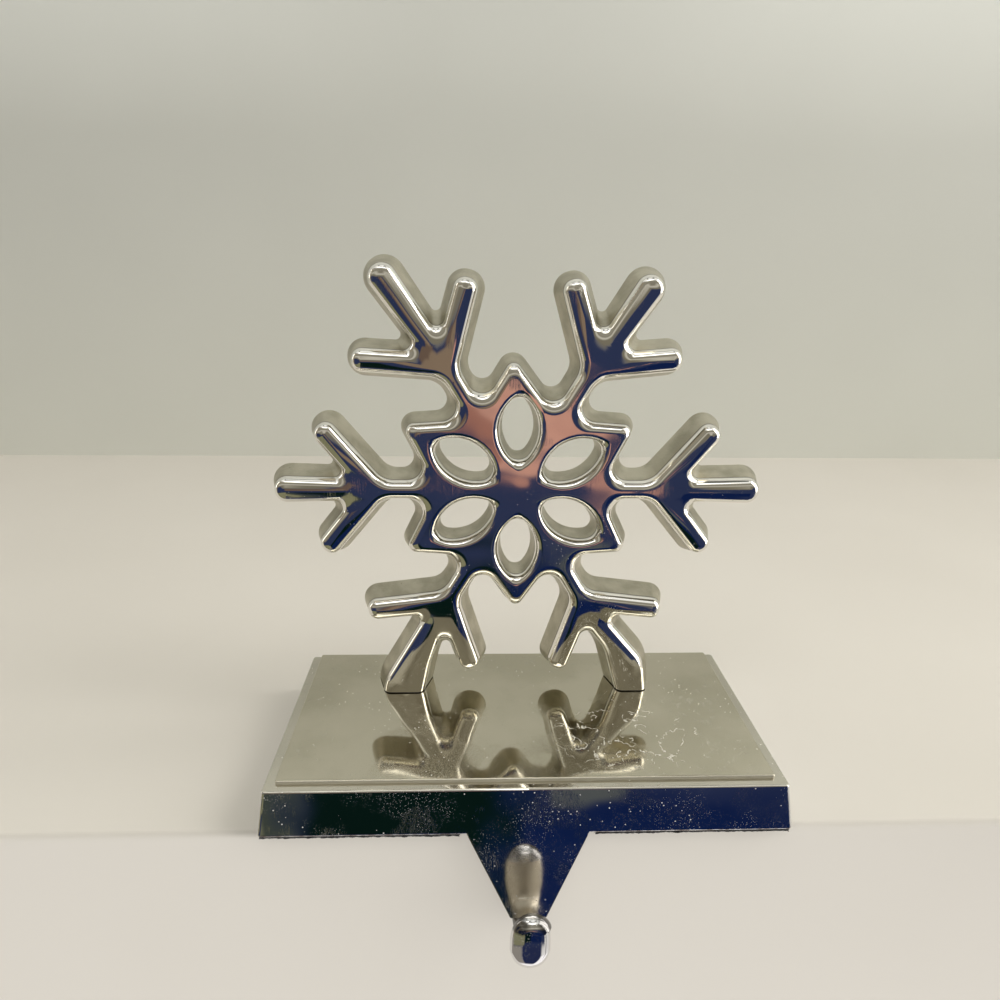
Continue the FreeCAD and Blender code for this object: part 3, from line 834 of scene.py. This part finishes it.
# The surroundings. Directions as low and high azimuth, low and high elevation and softness, in
# degrees from the camera's side, and colours. Later ones lie over earlier ones.
WORLD_CARDS = [
    ((-84.0, 56.0, 0.0, 50.0, 5.0), (0.15, 0.135, 0.10)),
    ((-84.0, 56.0, 12.0, 23.0, 5.0), (0.42, 0.40, 0.34)),
    ((-84.0, 56.0, 28.0, 50.0, 4.0), (0.22, 0.205, 0.165)),
    ((-165.0, -66.0, -40.0, 44.0, 5.0), (0.23, 0.20, 0.145)),
    ((-90.0, -22.0, -80.0, -38.0, 5.0), (0.24, 0.22, 0.19)),
    ((-24.0, 42.0, -80.0, -30.0, 5.0), (0.016, 0.022, 0.060)),
    ((-72.0, 56.0, -46.0, 3.0, 2.5), (0.020, 0.028, 0.068)),
    ((-72.0, -14.0, -46.0, -22.0, 1.5), (0.038, 0.046, 0.038)),
    ((-72.0, -16.2, -46.0, -23.0, 0.5), (0.175, 0.170, 0.100)),
    ((-13.7, 4.0, -44.0, -22.0, 1.5), (0.002, 0.008, 0.006)),
    ((3.0, 40.0, -44.0, -23.5, 2.5), (0.004, 0.011, 0.052)),
    ((60.0, 84.0, -14.0, 50.0, 1.5), (3.6, 3.5, 3.3)),
    ((87.0, 124.0, -14.0, 50.0, 1.5), (3.2, 3.1, 2.9)),
    ((-103.0, -95.0, -24.0, 34.0, 1.0), (2.6, 2.5, 2.3)),
    ((-46.0, 34.0, 56.0, 66.0, 2.0), (2.6, 2.55, 2.4)),
    ((-170.0, 170.0, 69.0, 76.0, 1.5), (0.10, 0.10, 0.09)),
    ((64.0, 68.0, -60.0, 50.0, 1.0), (0.12, 0.12, 0.12)),
]
# What only the mirror faces need: ovals of directions as azimuth, elevation, half width and half
# height, and colours
WORLD_SPOTS = [
    ((-14.0, -5.0, 9.0, 7.0), (0.11, 0.075, 0.055)),
    ((-4.0, -6.0, 7.0, 5.4), (0.18, 0.13, 0.09)),
    ((4.9, -12.0, 5.4, 3.3), (0.45, 0.235, 0.18)),
    ((0.6, -12.8, 1.9, 1.7), (0.27, 0.12, 0.09)),
    ((8.6, -10.6, 0.7, 1.6), (0.40, 0.20, 0.155)),
    ((10.6, -16.5, 2.4, 1.3), (0.40, 0.20, 0.155)),
    ((15.7, -16.9, 1.2, 0.8), (0.40, 0.20, 0.155)),
    ((3.8, -16.4, 1.2, 1.1), (0.34, 0.165, 0.13)),
    ((1.0, -17.0, 1.3, 0.5), (0.24, 0.12, 0.10)),
    ((16.8, -14.8, 2.4, 1.2), (0.062, 0.070, 0.085)),
    ((9.0, -23.4, 3.4, 2.6), (0.075, 0.082, 0.080)),
]
# What the camera sees of the surroundings, past the stage
SURROUNDINGS = (0.50, 0.50, 0.465)


def make_world():
    """Soft studio surroundings: pale, with dark, warm and bright cards on the camera's side."""
    world = bpy.data.worlds.new("studio")
    bpy.context.scene.world = world
    world.use_nodes = True
    w = Tree(world.node_tree)
    x, y, z = w.node("ShaderNodeSeparateXYZ",
                     w.node("ShaderNodeTexCoord").outputs["Generated"]).outputs
    azimuth = w.times(w.math("ARCTAN2", x, w.times(y, -1.0)), 180 / math.pi)
    height = w.times(w.math("ARCSINE", z), 180 / math.pi)

    def within(value, low, high, soft):
        above = w.step(value, low - soft, low + soft)
        return w.times(above, w.step(value, high + soft, high - soft))

    colour = w.mix(w.step(height, -30.0, 60.0), (0.62, 0.60, 0.56), (0.80, 0.80, 0.76))
    colour = w.mix(w.step(height, -46.0, -56.0), colour, (1.0, 0.97, 0.96))
    for (left, right, low, high, soft), tint in WORLD_CARDS:
        card = w.times(within(azimuth, left, right, soft), within(height, low, high, soft))
        colour = w.mix(card, colour, tint)
    broad = w.node("ShaderNodeBackground", colour, 1.0)
    for (middle_a, middle_h, wide, tall), tint in WORLD_SPOTS:
        da = w.math("DIVIDE", w.math("SUBTRACT", azimuth, middle_a), wide)
        dh = w.math("DIVIDE", w.math("SUBTRACT", height, middle_h), tall)
        away = w.math("ADD", w.times(da, da), w.times(dh, dh))
        colour = w.mix(w.step(away, 1.3, 0.6), colour, tint)
    detailed = w.node("ShaderNodeBackground", colour, 1.0)
    plain = w.node("ShaderNodeBackground", (*SURROUNDINGS, 1.0), 1.0)
    ray = w.node("ShaderNodeLightPath").outputs
    lit = w.node("ShaderNodeMixShader", ray["Is Glossy Ray"], broad.outputs[0], detailed.outputs[0])
    seen = w.node("ShaderNodeMixShader", ray["Is Camera Ray"], lit.outputs[0], plain.outputs[0])
    w.tree.links.new(seen.outputs[0], w.tree.nodes["World Output"].inputs["Surface"])


def add_area(name, place, aim, width, height, power, colour):
    """A soft box light at a place in millimetres, aimed at another, which no mirror shows."""
    lamp = bpy.data.lights.new(name, "AREA")
    lamp.shape = "RECTANGLE"
    lamp.size, lamp.size_y = width * MM, height * MM
    lamp.energy = power
    lamp.color = colour
    thing = bpy.data.objects.new(name, lamp)
    thing.location = Vector(place) * MM
    thing.rotation_euler = (Vector(aim) - Vector(place)).to_track_quat("-Z", "Y").to_euler()
    thing.visible_glossy = False
    bpy.context.scene.collection.objects.link(thing)


def make_camera():
    """The photograph's viewpoint, as fitted to the object's corners."""
    place, film, focal_share = (-13.6, -172.0, 130.5), 36.0, 0.735
    yaw, pitch, roll = (math.radians(v) for v in (2.35, 18.27, 0.84))
    forward = Vector((math.sin(yaw) * math.cos(pitch), math.cos(yaw) * math.cos(pitch),
                      -math.sin(pitch)))
    level = Vector((math.cos(yaw), -math.sin(yaw), 0))
    upward = level.cross(forward)
    right = math.cos(roll) * level + math.sin(roll) * upward
    above = -math.sin(roll) * level + math.cos(roll) * upward
    data = bpy.data.cameras.new("camera")
    data.sensor_width = film
    data.lens = film * focal_share
    data.clip_start, data.clip_end = 0.01, 20.0
    camera = bpy.data.objects.new("camera", data)
    turn = Matrix((right, above, -forward)).transposed()
    camera.matrix_world = Matrix.Translation(Vector(place) * MM) @ turn.to_4x4()
    bpy.context.scene.collection.objects.link(camera)
    bpy.context.scene.camera = camera


# Putting it together

flake = make_flake(plate_finish())
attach(flake, "root")
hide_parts("snowflake_casting")

felt = make_felt(felt_finish())
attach(felt, "root")
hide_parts("felt_pad")

base = make_base(base_finish())
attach(base, "root")
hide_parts("base_casting")

for slot in nodes["fixing_screws"].material_slots:
    slot.material = screw_finish()

make_stage()
make_world()
make_camera()
add_area("key", (520, -60, 560), (0, 20, 60), 320, 320, 1.0, (1.0, 0.98, 0.94))
add_area("top", (-60, -10, 780), (0, 60, 0), 420, 300, 0.6, (1.0, 1.0, 0.99))
add_area("low", (0, -1100, -900), (0, -30, -40), 900, 500, 15.0, (1.0, 0.99, 0.97))

settings = bpy.context.scene.view_settings
settings.view_transform = "Standard"
settings.exposure = 0.34
